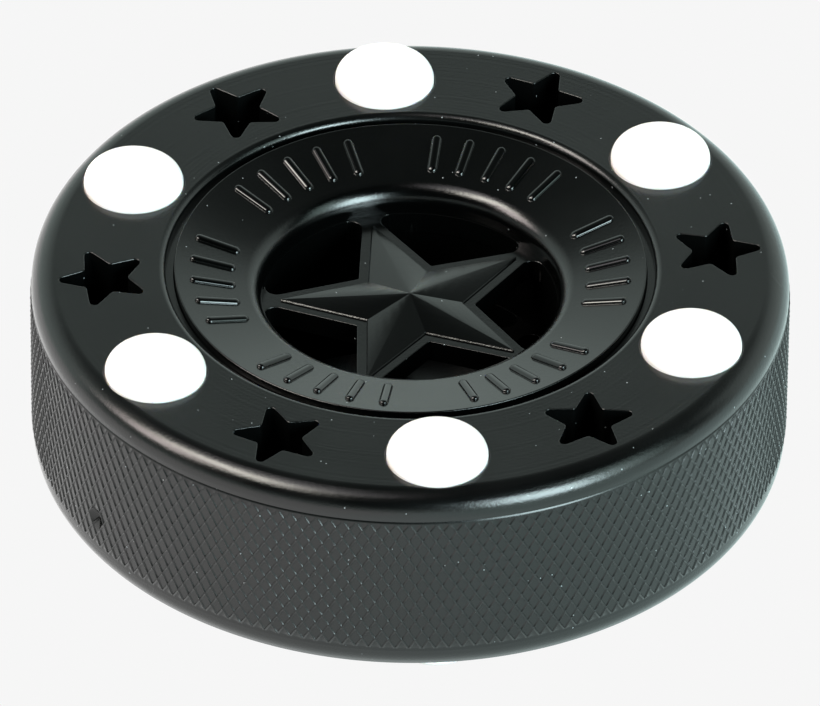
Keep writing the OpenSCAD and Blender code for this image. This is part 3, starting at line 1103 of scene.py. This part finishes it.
def add_floor():
    """A plain pale floor, even to the camera, with light that changes its tint from left to right.
    Both end under the object, where the floor lies in its shade."""
    bpy.ops.mesh.primitive_grid_add(x_subdivisions=2, y_subdivisions=2, size=6.0)
    floor = bpy.context.object
    floor.name = "floor"
    material, g = new_material("floor_look")
    coords = g.add("TexCoord", out=3)
    paper = g.noise(coords, PAPER_SCALE)
    x, y = g.split(coords)[:2]
    across = g.math("ADD", g.math("MULTIPLY", x, math.cos(VIEW_AZIMUTH)),
                    g.math("MULTIPLY", y, math.sin(VIEW_AZIMUTH)))
    tint = g.mix(g.ramp(across, -RIM_R * MM, RIM_R * MM), FLOOR_LEFT, FLOOR_RIGHT)
    tint = g.mix(g.math("MULTIPLY", paper, PAPER_STRENGTH), tint, PAPER_COLOUR)
    away = g.distance(x, y)
    seen_power = g.math("MULTIPLY", g.ramp(away, SEEN_FROM * MM, SEEN_FULL * MM), FLOOR_SEEN)
    felt_power = g.math("MULTIPLY", g.ramp(away, FELT_FROM * MM, RIM_R * MM), FLOOR_FELT)
    seen = g.add("Emission", {"Color": (1.0, 1.0, 1.0, 1.0), "Strength": seen_power})
    felt = g.add("Emission", {"Color": tint, "Strength": felt_power})
    camera_ray = g.add("LightPath")
    surface = g.add("MixShader", {0: camera_ray, 1: felt, 2: seen})
    g.add("OutputMaterial", {"Surface": surface})
    floor.data.materials.append(material)


def angle_ramp(g, angle, ends, start=0.0, end=1.0):
    """A smooth step over an angle, between two ends in degrees."""
    low, high = ends
    return g.ramp(angle, math.radians(low), math.radians(high), start, end)


def softbox(g, azimuth, elevation, centre, half_width, low, high, power):
    """A soft-edged patch of the sky. Azimuth is measured from straight behind the camera."""
    off = g.math("ABSOLUTE", g.math("SUBTRACT", azimuth, math.radians(centre)))
    side = angle_ramp(g, off, (half_width - BOX_SIDE_BLUR, half_width + BOX_SIDE_BLUR), power, 0.0)
    lower_edge = angle_ramp(g, elevation, (low - BOX_EDGE_BLUR, low + BOX_EDGE_BLUR))
    upper_edge = angle_ramp(g, elevation, (high - BOX_EDGE_BLUR, high + BOX_EDGE_BLUR), 1.0, 0.0)
    return g.math("MULTIPLY", side, g.math("MULTIPLY", lower_edge, upper_edge))


def add_sky():
    """Soft studio light: a pale cove at the back, a dark ceiling and softboxes beside the camera."""
    world = bpy.data.worlds.new("studio")
    bpy.context.scene.world = world
    world.use_nodes = True
    g = Graph(world.node_tree)
    way = g.add("Mapping", {"Vector": g.add("TexCoord", out=0), "Rotation": (0.0, 0.0, -VIEW_AZIMUTH)},
                vector_type="POINT")
    x, y, z = g.split(way)
    elevation = g.math("ARCSINE", z)
    azimuth = g.math("ARCTAN2", x, g.math("MULTIPLY", y, -1.0))
    behind = angle_ramp(g, g.math("ABSOLUTE", azimuth), BEHIND)
    horizon = angle_ramp(g, elevation, HORIZON_END, HORIZON, 0.0)
    low_part = angle_ramp(g, elevation, COVE_LOW_END, COVE_LOW, 0.0)
    high_part = angle_ramp(g, elevation, COVE_HIGH_END, COVE_HIGH, CEILING)
    dawn = angle_ramp(g, elevation, DAWN_END, DAWN, 0.0)
    height = g.math("ADD", dawn, g.math("ADD", low_part, high_part))
    cove = g.math("MULTIPLY", height, g.math("MAXIMUM", behind, horizon))
    total = g.add("Background", {"Color": COVE_COLOUR + (1.0,), "Strength": cove})
    for *place, power, colour in SOFTBOXES:
        patch = softbox(g, azimuth, elevation, *place, power)
        light = g.add("Background", {"Color": colour + (1.0,), "Strength": patch})
        total = g.add("AddShader", {0: total, 1: light})
    g.add("OutputWorld", {"Surface": total})


def add_camera():
    """A long lens above and to the side of one glide, as the object is seen in its picture."""
    back = Vector((math.sin(VIEW_AZIMUTH) * math.cos(VIEW_ELEVATION),
                   -math.cos(VIEW_AZIMUTH) * math.cos(VIEW_ELEVATION), math.sin(VIEW_ELEVATION)))
    level_right = Vector((math.cos(VIEW_AZIMUTH), math.sin(VIEW_AZIMUTH), 0))
    level_up = back.cross(level_right)
    c, s = math.cos(VIEW_ROLL), math.sin(VIEW_ROLL)
    right = c * level_right + s * level_up
    up = -s * level_right + c * level_up
    face_centre = Vector((0, 0, (MID_Z + HALF_H) * MM))
    place = face_centre + back * VIEW_DISTANCE * MM
    aim = face_centre - up * AIM_DROP * MM - right * AIM_SIDE * MM
    back_axis = (place - aim).normalized()
    up_axis = (up - back_axis * up.dot(back_axis)).normalized()
    right_axis = up_axis.cross(back_axis)
    data = bpy.data.cameras.new("camera")
    data.lens = VIEW_LENS
    data.sensor_width = 36.0
    data.clip_start = 0.05
    data.clip_end = 20.0
    camera = bpy.data.objects.new("camera", data)
    bpy.context.scene.collection.objects.link(camera)
    camera.matrix_world = Matrix((
        (right_axis.x, up_axis.x, back_axis.x, place.x),
        (right_axis.y, up_axis.y, back_axis.y, place.y),
        (right_axis.z, up_axis.z, back_axis.z, place.z),
        (0, 0, 0, 1)))
    bpy.context.scene.camera = camera


# ======== Assembly ========

def fit(piece, node):
    """The piece stands for a CAD node, which is hidden, and rides on the one body."""
    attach(piece, "root")
    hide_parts(node)


body_look = black_plastic("body_plastic_look", BODY_BLACK, 0.20, 0.010, ringed=True, edge_grain=0.015)
band_look = black_plastic("grip_plastic_look", BAND_BLACK, 0.25, 0.006, gloss=0.43)
hub_look = black_plastic("hub_plastic_look", HUB_BLACK, 0.15, 0.010, dusty=0.4, edge_grain=0.015)
# Rougher, darker and almost without shine: painted shade for the inside of the hub's opening.
shaded_wall_look = black_plastic("hub_wall_painted_shade_look", SHADED_WALL_BLACK, 0.6, 0.01, dusty=0.0, gloss=0.02)
rib_look = black_plastic("rib_plastic_look", RIB_BLACK, 0.12, 0.001, dusty=0.3)
nylon_look = white_nylon()

fit(body_shell(body_look), "body")
fit(grip_band(band_look), "body")
hub = hub_sheet()
hub_looks = [hub_look, rib_look, shaded_wall_look]
fit(hub.build("hub_top_visual", hub_looks), "hub_top")
fit(hub.turned_over().build("hub_bottom_visual", hub_looks), "hub_bottom")
for number in range(1, GLIDES + 1):
    fit(glide(number, False, nylon_look), f"glide_top_{number}")
    fit(glide(number, True, nylon_look), f"glide_bottom_{number}")

add_floor()
add_sky()
add_camera()
bpy.context.scene.view_settings.view_transform = "Standard"
